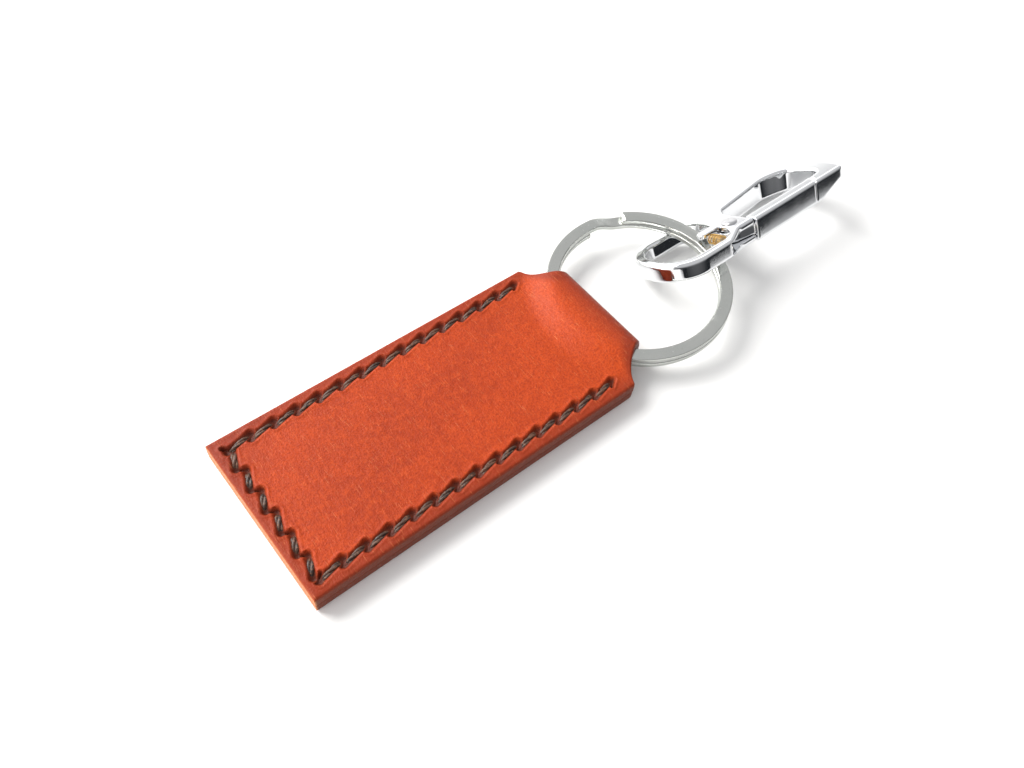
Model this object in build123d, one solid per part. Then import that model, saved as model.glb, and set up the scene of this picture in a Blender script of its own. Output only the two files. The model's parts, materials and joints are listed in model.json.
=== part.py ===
"""Leather key fob with a split ring and a sprung snap clip.

The row frame is in millimetres with +Z up.  Its origin is the centre of the
fob's back face, +X runs from the fob to the clip and +Y runs across the fob.
The fob lies on its back, the split ring passes through the leather loop, and
the clip leans on the ring with the back edge of its hook on the same surface.
"""
from build123d import *
import math
import os

os.makedirs("parts", exist_ok=True)

# ---------------------------------------------------------------- leather fob
body_length = 55.5           # full-width part, closed end to the notches
body_width = 27.6
layer_thickness = 1.8        # one layer of the folded strip
loop_reach = 5.8             # from the notches to the outside of the fold
loop_width = 17.2            # width of the strip where it folds
loop_leather = 1.2           # skived leather around the ring
swell_reach = 4.3            # the front layer starts to climb this far outside the ring
swell_width = 6.1            # and has reached the top of the loop this much closer in
edge_round = 0.45            # burnished edge
fold_round = 2.4
tunnel_round = 0.85

# ------------------------------------------------------------------ stitching
stitch_pitch = 3.55
stitch_inset_side = 2.3      # row to the long edge
stitch_inset_end = 2.1       # row to the closed end
stitch_gap_loop = 2.9        # last hole to the notches
thread_radius = 0.5
thread_sink = 0.12           # thread centre below the face of the leather
back_sink = 0.55             # the back row is hammered flush
stitch_slant = 0.32          # half of the slant across a side row
end_slant = 0.45             # the row across the closed end leans the other way
hole_fit = 0.02

# ----------------------------------------------------------------- split ring
ring_outer_diameter = 30.0
ring_band = 2.1              # radial width of the flat wire
coil_height = 1.05
coil_gap = 0.1
ring_edge_round = 0.28
ring_wall_gap = 0.765        # wire to the inner wall of the fold, at the loop's sides
joggle_start = 63.0          # degrees round the ring, from the clip towards +Y
joggle_span = 18.0
coil_end_gap = 4.0           # degrees between a wire end and the joggle
loop_clearance = 0.2         # ring to leather, above and below
tunnel_side_gap = 0.5        # ring to the end of the tunnel

# ------------------------------------------------------------------ snap clip
clip_roll = 32.0             # the gate side is lifted, the back edge lies down
clip_depth = 4.2
eye_depth = 3.0
eye_reach = 11.9             # ring wire to the closed end of the eye
eye_band = 1.9
eye_inner_side = 5.2         # half of the eye's opening
eye_shoulder = 0.4           # where the eye starts to narrow towards the neck
eye_ramp = 3.4               # where the eye's thin section has grown to the full depth
wire_drop = 0.25             # ring wire below the middle of the clip
neck_front = 5.6             # clip axis to the recessed face of the neck
bar_front = 6.1              # clip axis to the proud face of the gate
wire_side = 1.9              # ring wire to where the opening starts to narrow
neck_left = 2.9              # ring wire to the neck block
neck_right = 7.2
waist_back = 4.5             # clip axis to the outside of the waist
shoulder_u = 22.0
shoulder_v = 6.9
crown_u = 28.2
crown_v = 6.0
brow_u = 31.0
brow_v = -1.4
tip_u = 30.3
spine_width = 2.15
seam_outer_u = 22.6
seam_inner_u = 24.0
seam_gap = 0.15
gate_bar_width = 2.5
nose_ski = 3.2               # how far the underside sweeps up at the tip
clip_edge_round = 0.5
rivet_u = 4.5
rivet_v = -2.7
rivet_radius = 0.9
rivet_running_gap = 0.05
rivet_press_gap = 0.01
rivet_head_radius = 1.35
rivet_head_height = 0.4
tongue_thickness = 1.7
slot_side_gap = 0.12
hub_radius = 1.95
hub_gap = 0.5
tail_tip_u = -1.4
tail_half_width = 0.8
tail_v = -1.3
tail_bottom_w = 1.3
riser_width = 0.7            # post that lifts the tail from the tongue to the top face

# ---------------------------------------------------------------- gate spring
spring_wire = 0.3
spring_radius = 0.75
spring_turns = 4.5
spring_u = 0.35
spring_w = 0.95
spring_seat_gap = 0.12

# -------------------------------------------------------------- derived sizes
half_length = body_length / 2
half_width = body_width / 2
body_thickness = 2 * layer_thickness
fold_x = half_length + loop_reach
ring_height = 2 * coil_height + coil_gap
ring_outer = ring_outer_diameter / 2
ring_mean = ring_outer - ring_band / 2
roll = math.radians(clip_roll)

# The clip's back edge lies on z = 0, and the ring wire runs between the underside
# of the eye's front band and the top of its back band.
edge_v = shoulder_v - clip_edge_round
edge_w = clip_depth / 2 - clip_edge_round
clip_centre_z = edge_v * math.sin(roll) + edge_w * math.cos(roll) + clip_edge_round
eye_side = eye_inner_side + eye_band
wire_z = clip_centre_z - wire_drop
tunnel_height = ring_height + 2 * loop_clearance
tunnel_z = loop_leather + tunnel_height / 2
ring_tilt = math.degrees(math.asin((wire_z - tunnel_z) / (2 * ring_mean)))
ring_inner = ring_outer - ring_band
ring_reach = math.sqrt(ring_inner**2 - (loop_width / 2) ** 2)
ring_x = fold_x - loop_leather - ring_wall_gap + ring_reach
ring_z = (wire_z + tunnel_z) / 2
wire_x = ring_x + ring_mean * math.cos(math.radians(ring_tilt))

# The top of the loop clears the ring where the fold begins to turn down.
fold_start_x = fold_x - fold_round
ring_rise = (fold_start_x - (ring_x - ring_mean)) * math.tan(math.radians(ring_tilt))
loop_height = tunnel_z + ring_rise + tunnel_height / 2 + loop_leather


def write(name, solid):
    """Write one node as a STEP file."""
    solid.label = name
    export_step(solid, f"parts/{name}.step")


def ring_place(solid):
    """Turn a solid from the ring's own frame into the row frame."""
    return Location((ring_x, 0, ring_z), (0, -ring_tilt, 0)) * solid


def clip_place(solid):
    """Turn a solid from the clip's own frame (u, v, w) into the row frame."""
    return Location((wire_x, 0, clip_centre_z), (-clip_roll, 0, 0)) * solid


def slab(face_points, bottom, top):
    """Prism over a closed outline in the clip's plane."""
    outline = Polyline(*face_points, close=True)
    return Pos(0, 0, bottom) * extrude(make_face(outline), top - bottom)


# ------------------------------------------------------------------- leather
def leather_side():
    """Side profile of the folded strip at the height of the loop."""
    outline = [
        Line((-half_length, 0), (fold_start_x, 0)),
        ThreePointArc((fold_start_x, 0), (fold_x, loop_height / 2), (fold_start_x, loop_height)),
        Line((fold_start_x, loop_height), (-half_length, loop_height)),
        Line((-half_length, loop_height), (-half_length, 0)),
    ]
    return make_face(Wire(outline))


def leather_swell():
    """Everything under the front face, which climbs over the ring as a collar round it."""
    low_r = ring_outer + swell_reach
    high_r = low_r - swell_width
    far_r = 2 * (body_length + ring_outer_diameter)
    climb = Spline(
        (low_r, 0, body_thickness),
        (high_r, 0, loop_height),
        tangents=((-1, 0, 0), (-1, 0, 0)),
    )
    outline = [
        Line((0, 0, -1), (far_r, 0, -1)),
        Line((far_r, 0, -1), (far_r, 0, body_thickness)),
        Line((far_r, 0, body_thickness), (low_r, 0, body_thickness)),
        climb,
        Line((high_r, 0, loop_height), (0, 0, loop_height)),
        Line((0, 0, loop_height), (0, 0, -1)),
    ]
    return Pos(ring_x, 0, 0) * revolve(make_face(Wire(outline)), Axis.Z)


def leather_plan():
    """Plan of the strip: full width, then a concave notch on each side of the loop."""
    half_loop = loop_width / 2
    notch_mid = (half_length + 0.35 * loop_reach, half_loop + 0.33 * (half_width - half_loop))
    notch_start = (half_length - 0.3, half_width)
    notch_end = (fold_x + 0.01, half_loop)
    outline = [
        Line((-half_length, -half_width), (notch_start[0], -half_width)),
        ThreePointArc(
            (notch_start[0], -half_width), (notch_mid[0], -notch_mid[1]), (notch_end[0], -half_loop)
        ),
        Line((notch_end[0], -half_loop), notch_end),
        ThreePointArc(notch_end, notch_mid, notch_start),
        Line(notch_start, (-half_length, half_width)),
        Line((-half_length, half_width), (-half_length, -half_width)),
    ]
    return make_face(Wire(outline))


def tunnel():
    """Space in the fold for the ring: round like the ring, straight at the fold's wall."""
    radius = ring_outer + tunnel_side_gap
    wall_x = fold_x - loop_leather - ring_x
    disc = Cylinder(radius, tunnel_height)
    beyond = Pos(wall_x + radius, 0, 0) * Box(2 * radius, 3 * radius, 2 * tunnel_height)
    space = disc - beyond
    rims = [e for e in space.edges() if abs(abs(e.center().Z) - tunnel_height / 2) < 0.01]
    return ring_place(fillet(rims, tunnel_round))


def hole_points():
    """Awl holes in sewing order: one long side, the closed end, the other side."""
    side_y = half_width - stitch_inset_side
    end_x = -half_length + stitch_inset_end
    last_x = half_length - stitch_gap_loop
    side_count = round((last_x - end_x) / stitch_pitch)
    end_count = round(2 * side_y / stitch_pitch)
    side_step = (last_x - end_x) / side_count
    end_step = 2 * side_y / end_count
    holes = []
    for i in range(side_count):
        holes.append((last_x - i * side_step, side_y))
    for i in range(end_count):
        holes.append((end_x, side_y - i * end_step))
    for i in range(side_count + 1):
        holes.append((end_x + i * side_step, -side_y))
    return holes


def capsule(start, end, radius):
    """Round-ended rod from one point to another."""
    a = Vector(*start)
    b = Vector(*end)
    axis = b - a
    plane = Plane(origin=a, z_dir=axis.normalized())
    rod = plane * extrude(Circle(radius), axis.length)
    return rod + Pos(*start) * Sphere(radius) + Pos(*end) * Sphere(radius)


def stitch_row(holes, z, radius):
    """One slanted stitch between each pair of neighbouring holes."""
    stitches = []
    for (x0, y0), (x1, y1) in zip(holes, holes[1:]):
        length = math.hypot(x1 - x0, y1 - y0)
        across_end = abs(y1 - y0) > abs(x1 - x0)
        slant = -end_slant if across_end else stitch_slant
        across_x = -(y1 - y0) / length * slant
        across_y = (x1 - x0) / length * slant
        start = (x0 - across_x, y0 - across_y, z)
        end = (x1 + across_x, y1 + across_y, z)
        stitches.append(capsule(start, end, radius))
    return stitches


def thread_solid(extra):
    """The whole seam: front stitches, back stitches and the legs through the holes."""
    radius = thread_radius + extra
    holes = hole_points()
    front_z = body_thickness - thread_sink
    back_z = back_sink
    pieces = stitch_row(holes, front_z, radius) + stitch_row(holes, back_z, radius)
    for x, y in holes:
        leg = Pos(x, y, back_z) * extrude(Circle(radius), front_z - back_z)
        pieces.append(leg)
    first = pieces[0]
    return first.fuse(*pieces[1:])


def leather_strip():
    """Folded strip with the loop at one end and the seam sunk into it."""
    side = Plane(origin=(0, body_width, 0), x_dir=(1, 0, 0), z_dir=(0, -1, 0)) * leather_side()
    folded = extrude(side, 2 * body_width)
    plan = Pos(0, 0, -1) * extrude(leather_plan(), loop_height + 2)
    strip = folded & plan & leather_swell()
    long_edges = [
        e
        for e in strip.edges()
        if abs(e.center().Z - body_thickness) < 0.01 or abs(e.center().Z) < 0.01
    ]
    straight = [e for e in long_edges if e.geom_type == GeomType.LINE and e.length > loop_width + 1]
    strip = fillet(straight, edge_round)
    strip = strip - tunnel()
    return strip - thread_solid(hole_fit)


# ----------------------------------------------------------------- split ring
def ring_section(angle, z):
    """Wire section at one angle round the ring."""
    turn = math.radians(angle)
    outward = (math.cos(turn), math.sin(turn), 0)
    centre = (ring_mean * outward[0], ring_mean * outward[1], z)
    forward = (-math.sin(turn), math.cos(turn), 0)
    plane = Plane(origin=centre, x_dir=outward, z_dir=forward)
    return plane * RectangleRounded(ring_band, coil_height, ring_edge_round)


def coil(start, end, z):
    """Part of a turn at a constant height."""
    section = ring_section(start, z)
    return revolve(section, Axis.Z, revolution_arc=end - start)


def joggle():
    """Stretch where the wire steps from the lower coil up to the upper one."""
    step = coil_height + coil_gap
    sections = []
    count = 8
    for i in range(count + 1):
        share = i / count
        ease = (1 - math.cos(math.pi * share)) / 2
        angle = joggle_start + joggle_span * share
        sections.append(ring_section(angle, step * ease - step / 2))
    return loft(Sketch() + sections)


def split_ring():
    """Flat wire wound twice, with one crossover."""
    level = (coil_height + coil_gap) / 2
    joggle_end = joggle_start + joggle_span
    lower_start = joggle_end + coil_end_gap - 360
    upper_end = joggle_start - coil_end_gap + 360
    lower = coil(lower_start, joggle_start, -level)
    upper = coil(joggle_end, upper_end, level)
    return lower.fuse(joggle(), upper)


# ------------------------------------------------------------------ snap clip
def rounded_face(corners):
    """Face over a closed polygon of (u, v, corner radius)."""
    face = make_face(Polyline(*[(u, v) for u, v, radius in corners], close=True))
    for u, v, radius in corners:
        if radius > 0:
            near = face.vertices().sort_by_distance(Vector(u, v, 0))[0]
            face = fillet(near, radius)
    return face


def clip_outline():
    """Closed outline of the clip: round eye, waist, bowed hook and straight gate side."""
    corners = [
        (-eye_reach, -eye_side, 6.4),
        (eye_shoulder, -eye_side, 4.0),
        (eye_ramp + 0.4, -neck_front, 2.0),
        (neck_right, -neck_front, 0),
        (neck_right, -bar_front, 0),
        (tip_u, -bar_front, 1.2),
        (brow_u, brow_v, 5.0),
        (crown_u, crown_v, 4.4),
        (shoulder_u, shoulder_v, 9.0),
        (neck_right - 1.6, waist_back, 5.0),
        (eye_shoulder, eye_side, 4.0),
        (-eye_reach, eye_side, 6.4),
    ]
    return rounded_face(corners)


def hook_opening():
    """Space inside the hook, open to the gate's side between neck and nose."""
    inner_front = bar_front - gate_bar_width
    corners = [
        (neck_right, -bar_front - 2, 0),
        (seam_outer_u, -bar_front - 2, 0),
        (seam_outer_u, -bar_front, 0),
        (seam_inner_u, -inner_front, 0),
        (brow_u - 3.4, -inner_front + 0.4, 1.6),
        (crown_u - 2.2, crown_v - 2.6, 3.2),
        (shoulder_u - 0.4, shoulder_v - spine_width, 7.0),
        (neck_right + 1.2, waist_back - spine_width + 0.1, 1.2),
        (neck_right, waist_back - spine_width - 1.6, 0),
    ]
    return rounded_face(corners)


def eye_opening():
    """Opening of the eye, round at the far end and flat on the neck's side."""
    left = -eye_reach + eye_band
    corners = [
        (left, -eye_inner_side, 4.6),
        (wire_side, -eye_inner_side, 1.0),
        (neck_left, -eye_inner_side + 1.6, 1.2),
        (neck_left, eye_inner_side - 2.2, 1.4),
        (wire_side, eye_inner_side, 1.0),
        (left, eye_inner_side, 4.6),
    ]
    return rounded_face(corners)


def eye_relief():
    """Thin layer taken off both faces of the eye, ramping out towards the neck."""
    half = clip_depth / 2
    eye_half = eye_depth / 2
    corners = [
        (-eye_reach - 2, eye_half),
        (eye_ramp - 3.0, eye_half),
        (eye_ramp, half),
        (eye_ramp, half + 1),
        (-eye_reach - 2, half + 1),
    ]
    plane = Plane(origin=(0, -eye_side - 1, 0), x_dir=(1, 0, 0), z_dir=(0, -1, 0))
    face = plane * make_face(Polyline(*corners, close=True))
    upper = extrude(face, -2 * (eye_side + 1))
    return upper + mirror(upper, about=Plane.XY)


def gate_slot():
    """Fork that the gate's tongue swings in."""
    half = tongue_thickness / 2 + slot_side_gap
    back = rivet_v + hub_radius + hub_gap
    corners = [
        (neck_left - 3, -neck_front - 2),
        (neck_right + 2, -neck_front - 2),
        (neck_right + 2, back),
        (neck_left - 3, back),
    ]
    return slab(corners, -half, half)


def rivet_hole(radius):
    """Hole for the rivet, right through."""
    return Pos(rivet_u, rivet_v, -clip_depth) * extrude(Circle(radius), 2 * clip_depth)


def nose_ramp():
    """Material cut off under the nose, which sweeps up to the tip."""
    half = clip_depth / 2
    corners = [
        (tip_u - 7.0, -half - 1),
        (tip_u - 7.0, -half),
        (brow_u + 1.5, -half + nose_ski),
        (brow_u + 1.5, -half - 1),
    ]
    plane = Plane(origin=(0, -bar_front - 2, 0), x_dir=(1, 0, 0), z_dir=(0, -1, 0))
    face = plane * make_face(Polyline(*corners, close=True))
    wedge = extrude(face, -(bar_front + 3))
    return wedge


def rim_edges(frame):
    """Edges around the two faces of the frame, the eye's ramps included."""
    rims = []
    for edge in frame.edges():
        upright = edge.bounding_box().size.Z > clip_depth / 4
        inside = abs(edge.center().Z) < eye_depth / 2 - 0.05
        if not upright and not inside:
            rims.append(edge)
    return rims


def clip_frame():
    """Cast frame: eye, neck with its fork, spine, hook and nose in one piece."""
    half = clip_depth / 2
    frame = Pos(0, 0, -half) * extrude(clip_outline(), clip_depth)
    frame = frame - eye_relief()
    frame = frame - (Pos(0, 0, -half - 1) * extrude(eye_opening(), clip_depth + 2))
    frame = frame - (Pos(0, 0, -half - 1) * extrude(hook_opening(), clip_depth + 2))
    frame = fillet(rim_edges(frame), clip_edge_round)
    frame = frame - nose_ramp()
    frame = frame - gate_slot()
    return frame - rivet_hole(rivet_radius + rivet_press_gap)


def clip_gate():
    """Lever: bar, tongue and hub on the rivet, and the tail that the spring pushes."""
    half = clip_depth / 2
    tongue_half = tongue_thickness / 2
    inner = bar_front - gate_bar_width
    root = neck_right + seam_gap
    bar = slab(
        [
            (root, -bar_front),
            (seam_outer_u - seam_gap, -bar_front),
            (seam_inner_u - seam_gap, -inner),
            (root, -inner),
        ],
        -half,
        half,
    )
    long_edges = bar.edges().filter_by(Axis.X)
    bar = fillet(long_edges, clip_edge_round)
    tongue = slab(
        [
            (rivet_u, rivet_v - hub_radius),
            (root + 0.5, -bar_front + 0.7),
            (root + 0.5, -inner),
            (rivet_u, rivet_v + hub_radius),
        ],
        -tongue_half,
        tongue_half,
    )
    hub = Pos(rivet_u, rivet_v, -tongue_half) * extrude(Circle(hub_radius), tongue_thickness)
    arm_end = neck_left - 0.2
    arm = slab(
        [
            (rivet_u, rivet_v - 0.4),
            (arm_end - riser_width, tail_v - tail_half_width),
            (arm_end - riser_width, tail_v + tail_half_width),
            (rivet_u, rivet_v + hub_radius),
        ],
        -tongue_half,
        tongue_half,
    )
    tail = slab(
        [
            (tail_tip_u + tail_half_width, tail_v - tail_half_width),
            (arm_end, tail_v - tail_half_width),
            (arm_end, tail_v + tail_half_width),
            (tail_tip_u + tail_half_width, tail_v + tail_half_width),
        ],
        tail_bottom_w,
        half,
    )
    tip_disc = Pos(tail_tip_u + tail_half_width, tail_v, tail_bottom_w) * extrude(
        Circle(tail_half_width), half - tail_bottom_w
    )
    riser = slab(
        [
            (arm_end - riser_width, tail_v - tail_half_width),
            (arm_end, tail_v - tail_half_width),
            (arm_end, tail_v + tail_half_width),
            (arm_end - riser_width, tail_v + tail_half_width),
        ],
        -tongue_half,
        half,
    )
    gate = bar + tongue + hub + arm + tail + tip_disc + riser
    return gate - rivet_hole(rivet_radius + rivet_running_gap)


def gate_rivet():
    """Headed rivet through both cheeks of the fork."""
    half = clip_depth / 2
    shank = Pos(rivet_u, rivet_v, -half) * extrude(Circle(rivet_radius), clip_depth)
    top = Pos(rivet_u, rivet_v, half) * extrude(Circle(rivet_head_radius), rivet_head_height)
    low = Pos(rivet_u, rivet_v, -half - rivet_head_height) * extrude(
        Circle(rivet_head_radius), rivet_head_height
    )
    top = fillet(top.edges().sort_by(Axis.Z)[-1], rivet_head_height * 0.8)
    low = fillet(low.edges().sort_by(Axis.Z)[0], rivet_head_height * 0.8)
    return shank + top + low


def gate_spring():
    """Small compression spring between the eye's front band and the tail."""
    start = -eye_inner_side + spring_wire / 2 + spring_seat_gap
    end = tail_v - tail_half_width - spring_wire / 2 - spring_seat_gap
    length = end - start
    helix = Helix(pitch=length / spring_turns, height=length, radius=spring_radius)
    section = Plane(origin=helix @ 0, z_dir=helix % 0) * Circle(spring_wire / 2)
    wire = sweep(section, path=helix, is_frenet=True)
    return Location((spring_u, start, spring_w), (-90, 0, 0)) * wire


write("leather_strip", leather_strip())
write("stitching_thread", thread_solid(0))
write("split_ring", ring_place(split_ring()))
write("clip_frame", clip_place(clip_frame()))
write("clip_gate", clip_place(clip_gate()))
write("gate_rivet", clip_place(gate_rivet()))
write("gate_spring", clip_place(gate_spring()))

print("ring tilt", round(ring_tilt, 2), "ring centre", round(ring_x, 3), round(ring_z, 3))
print("wire", round(wire_x, 3), round(wire_z, 3), "clip centre z", round(clip_centre_z, 3))
print("loop height", round(loop_height, 3), "tunnel z", round(tunnel_z, 3))
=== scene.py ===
"""Looks of a leather key fob with a split ring and a sprung snap clip.

The file is laid out as an add-on and run as a script.  Lengths in the tables are in
millimetres and are turned into metres where a mesh is made.  The clip's own frame is
(u, v, w): u along it from the ring's wire, v across it towards its back edge, w up
through its top face.
"""
import json
import math

import bpy
import numpy as np
from mathutils import Matrix, Vector

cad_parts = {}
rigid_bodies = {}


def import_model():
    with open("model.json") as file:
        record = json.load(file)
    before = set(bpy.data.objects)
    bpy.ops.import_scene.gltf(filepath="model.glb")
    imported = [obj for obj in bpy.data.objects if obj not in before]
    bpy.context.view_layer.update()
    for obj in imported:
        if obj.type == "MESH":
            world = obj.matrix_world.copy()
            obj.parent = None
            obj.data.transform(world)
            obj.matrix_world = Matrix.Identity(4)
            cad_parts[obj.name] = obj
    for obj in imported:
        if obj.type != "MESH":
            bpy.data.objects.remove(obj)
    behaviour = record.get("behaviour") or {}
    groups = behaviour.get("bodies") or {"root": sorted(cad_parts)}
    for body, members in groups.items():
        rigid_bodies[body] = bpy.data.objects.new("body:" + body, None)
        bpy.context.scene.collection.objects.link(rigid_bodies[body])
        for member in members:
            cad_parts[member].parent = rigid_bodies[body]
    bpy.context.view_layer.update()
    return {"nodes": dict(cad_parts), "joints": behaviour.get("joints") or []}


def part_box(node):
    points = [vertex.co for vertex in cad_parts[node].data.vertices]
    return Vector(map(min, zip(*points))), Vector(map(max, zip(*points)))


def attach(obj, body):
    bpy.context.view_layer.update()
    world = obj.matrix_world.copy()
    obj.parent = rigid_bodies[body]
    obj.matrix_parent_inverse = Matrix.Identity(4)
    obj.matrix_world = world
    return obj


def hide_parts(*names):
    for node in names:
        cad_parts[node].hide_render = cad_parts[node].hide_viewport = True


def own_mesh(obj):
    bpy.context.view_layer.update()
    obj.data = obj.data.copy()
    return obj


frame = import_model()

bl_info = {
    "name": "Leather key fob with snap clip",
    "version": (1, 0, 0),
    "blender": (4, 5, 0),
    "location": "3D View > Sidebar > Key Fob",
    "description": "Builds the leather, thread and metal pieces of a key fob around its CAD frame",
    "category": "Object",
}

MM = 0.001


# ------------------------------------------------------------------ places
def joint(name):
    """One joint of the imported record."""
    return next(j for j in frame["joints"] if j["name"] == name)


def joint_place(name):
    """Pivot of a joint in millimetres."""
    return Vector(joint(name)["pos_m"]) / MM


leather_low, leather_high = (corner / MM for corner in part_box("leather_strip"))
HALF_LENGTH = -leather_low.x
HALF_WIDTH = leather_high.y
FOLD_X = leather_high.x
LOOP_HEIGHT = leather_high.z
RING_CENTRE = joint_place("ring_turn")
RING_AXIS = Vector(joint("ring_turn")["axis"]).normalized()
RING_RISE = -RING_AXIS.x / RING_AXIS.z
GATE_PIVOT = joint_place("gate_open")
CLIP_W = Vector(joint("gate_open")["axis"]).normalized()
CLIP_U = Vector((1, 0, 0))
CLIP_V = CLIP_W.cross(CLIP_U)
RIVET_UV = (4.5, -2.7)
SPRING_U, SPRING_W, SPRING_SEAT = 0.35, 0.95, -5.08
CLIP_CENTRE = GATE_PIVOT - CLIP_U * RIVET_UV[0] - CLIP_V * RIVET_UV[1]


def clip_matrix():
    """From the clip's own frame in metres to the row frame."""
    turn = Matrix((CLIP_U, CLIP_V, CLIP_W)).transposed().to_4x4()
    return Matrix.Translation(CLIP_CENTRE * MM) @ turn


# ---------------------------------------------------------------- mesh helpers
def deselect():
    """Nothing selected and nothing active, in object mode."""
    if bpy.context.object is not None and bpy.context.object.mode != "OBJECT":
        bpy.ops.object.mode_set(mode="OBJECT")
    for o in bpy.context.view_layer.objects:
        o.select_set(False)
    bpy.context.view_layer.objects.active = None


def activate(obj):
    """Only this object selected and active."""
    deselect()
    obj.select_set(True)
    bpy.context.view_layer.objects.active = obj


def apply_modifier(obj, kind, name, **settings):
    """Add a modifier with these settings and apply it."""
    activate(obj)
    modifier = obj.modifiers.new(name, kind)
    for key, value in settings.items():
        setattr(modifier, key, value)
    bpy.ops.object.modifier_apply(modifier=name)


def edit_all(obj, *steps):
    """Run edit-mode operators with the whole mesh selected."""
    activate(obj)
    bpy.ops.object.mode_set(mode="EDIT")
    for step in steps:
        bpy.ops.mesh.select_all(action="SELECT")
        step()
    bpy.ops.object.mode_set(mode="OBJECT")


def merge_doubles(obj, gap=0.0004):
    """Weld loose corners and point the faces outwards."""
    edit_all(
        obj,
        lambda: bpy.ops.mesh.remove_doubles(threshold=gap * MM),
        lambda: bpy.ops.mesh.dissolve_degenerate(threshold=gap * MM * 0.5),
        lambda: bpy.ops.mesh.normals_make_consistent(inside=False),
    )


def smooth(obj, angle):
    """Smooth shading that keeps edges sharper than this many degrees."""
    activate(obj)
    bpy.ops.object.shade_smooth_by_angle(angle=math.radians(angle))


def vertices_of(obj):
    """Vertex places as an array."""
    co = np.zeros(len(obj.data.vertices) * 3)
    obj.data.vertices.foreach_get("co", co)
    return co.reshape(-1, 3)


def set_vertices(obj, co):
    """Write vertex places back."""
    obj.data.vertices.foreach_set("co", np.asarray(co, float).ravel())
    obj.data.update()


def copy_of_node(node, name):
    """A copy of a CAD node's mesh, welded, as a new object at the origin."""
    deselect()
    source = frame["nodes"][node]
    made = bpy.data.objects.new(name, source.data.copy())
    bpy.context.scene.collection.objects.link(made)
    made.data.materials.clear()
    merge_doubles(made)
    return made


def join(objects, name):
    """Join several objects into the first one."""
    deselect()
    for o in objects:
        o.select_set(True)
    bpy.context.view_layer.objects.active = objects[0]
    bpy.ops.object.join()
    made = bpy.context.object
    made.name = name
    made.data.name = name
    return made


def finish_piece(obj, body, slot_name, material, *nodes):
    """Material, body and the CAD nodes that the piece stands for; the slot name is not used."""
    obj.data.materials.clear()
    obj.data.materials.append(material)
    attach(obj, body)
    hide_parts(*nodes)


# ------------------------------------------------------------ material helpers
class Shader:
    """A material with short calls for its nodes."""

    def __init__(self, name):
        self.material = bpy.data.materials.new(name)
        self.material.use_nodes = True
        self.tree = self.material.node_tree
        self.surface = self.tree.nodes["Principled BSDF"]
        self.place = self.add("ShaderNodeTexCoord").outputs["Object"]

    def add(self, kind, inputs=None, **settings):
        """A node with settings, and inputs that are values or sockets."""
        made = self.tree.nodes.new(kind)
        for key, value in settings.items():
            setattr(made, key, value)
        for key, value in (inputs or {}).items():
            self.put(made.inputs[key], value)
        return made

    def put(self, socket, value):
        """Link a socket, or set a value."""
        if isinstance(value, bpy.types.NodeSocket):
            self.tree.links.new(value, socket)
        else:
            socket.default_value = value

    def set(self, **values):
        """Set the shader's own sockets."""
        for key, value in values.items():
            self.put(self.surface.inputs[key.replace("_", " ")], value)

    def stretched(self, scale, turn=(0, 0, 0)):
        """Object coordinates, scaled differently along each axis."""
        inputs = {"Vector": self.place, "Scale": scale, "Rotation": turn}
        return self.add("ShaderNodeMapping", inputs).outputs["Vector"]

    def noise(self, scale, detail=2.0, rough=0.5, vector=None):
        """Fractal noise as a value."""
        inputs = {
            "Vector": vector or self.place,
            "Scale": scale,
            "Detail": detail,
            "Roughness": rough,
        }
        return self.add("ShaderNodeTexNoise", inputs).outputs["Fac"]

    def cells(self, scale):
        """Distance to the edge of random cells."""
        inputs = {"Vector": self.place, "Scale": scale}
        made = self.add("ShaderNodeTexVoronoi", inputs, feature="DISTANCE_TO_EDGE")
        return made.outputs["Distance"]

    def attribute(self, name):
        """A named value kept on the mesh."""
        return self.add("ShaderNodeAttribute", attribute_name=name).outputs["Fac"]

    def span(self, value, low, high, to_low=0.0, to_high=1.0):
        """Map a range of values to another, clamped."""
        inputs = {
            "Value": value,
            "From Min": low,
            "From Max": high,
            "To Min": to_low,
            "To Max": to_high,
        }
        return self.add("ShaderNodeMapRange", inputs).outputs["Result"]

    def maths(self, operation, a, b):
        """One arithmetic step."""
        return self.add("ShaderNodeMath", {0: a, 1: b}, operation=operation).outputs[0]

    def mix(self, share, a, b, blend="MIX"):
        """Mix two colours."""
        made = self.add("ShaderNodeMix", data_type="RGBA", blend_type=blend)
        self.put(made.inputs["Factor"], share)
        self.put(made.inputs["A"], a)
        self.put(made.inputs["B"], b)
        return made.outputs["Result"]

    def bump(self, height, strength, distance, normal=None):
        """Relief from a height, added to what is below it."""
        inputs = {"Height": height, "Strength": strength, "Distance": distance * MM}
        made = self.add("ShaderNodeBump", inputs)
        if normal is not None:
            self.put(made.inputs["Normal"], normal)
        return made.outputs["Normal"]


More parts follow.
